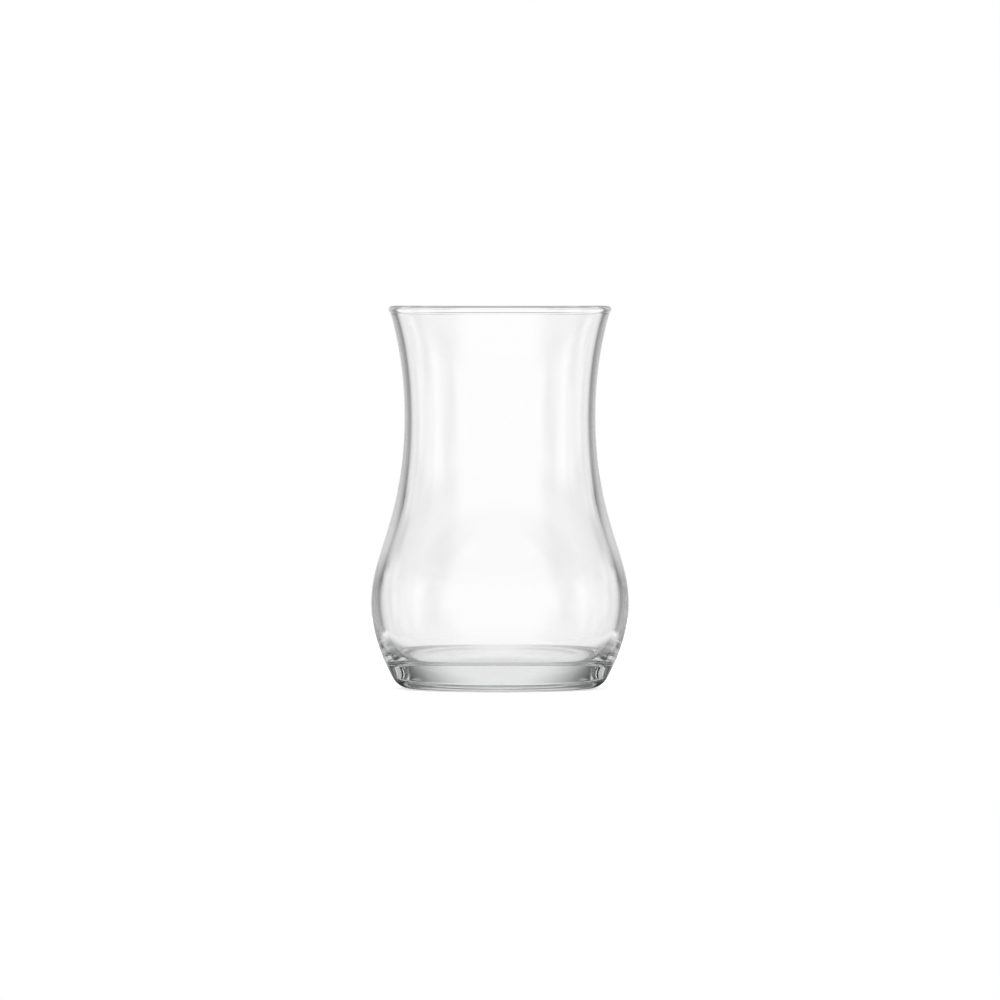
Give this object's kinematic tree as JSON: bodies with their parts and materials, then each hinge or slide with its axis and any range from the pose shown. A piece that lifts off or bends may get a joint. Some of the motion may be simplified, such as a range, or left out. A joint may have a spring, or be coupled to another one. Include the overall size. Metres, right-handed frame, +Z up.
{
  "type": "turkish tea glass",
  "caption": "Small clear tea glass with a flared mouth, a slim waist, a rounded bulb and a thick solid base; holds hot tea and stands on its foot ring.",
  "frame": {"origin": "centre of the foot, on the surface the glass stands on", "axes": "+Z up along the glass's axis of turning, towards the mouth; X and Y are alike"},
  "size_m": [0.0586, 0.0586, 0.087],
  "materials": {
    "glass": "clear pressed glass, fire-polished all over"
  },
  "bodies": {
    "root": {"glass": "glass"}
  },
  "joints": []
}
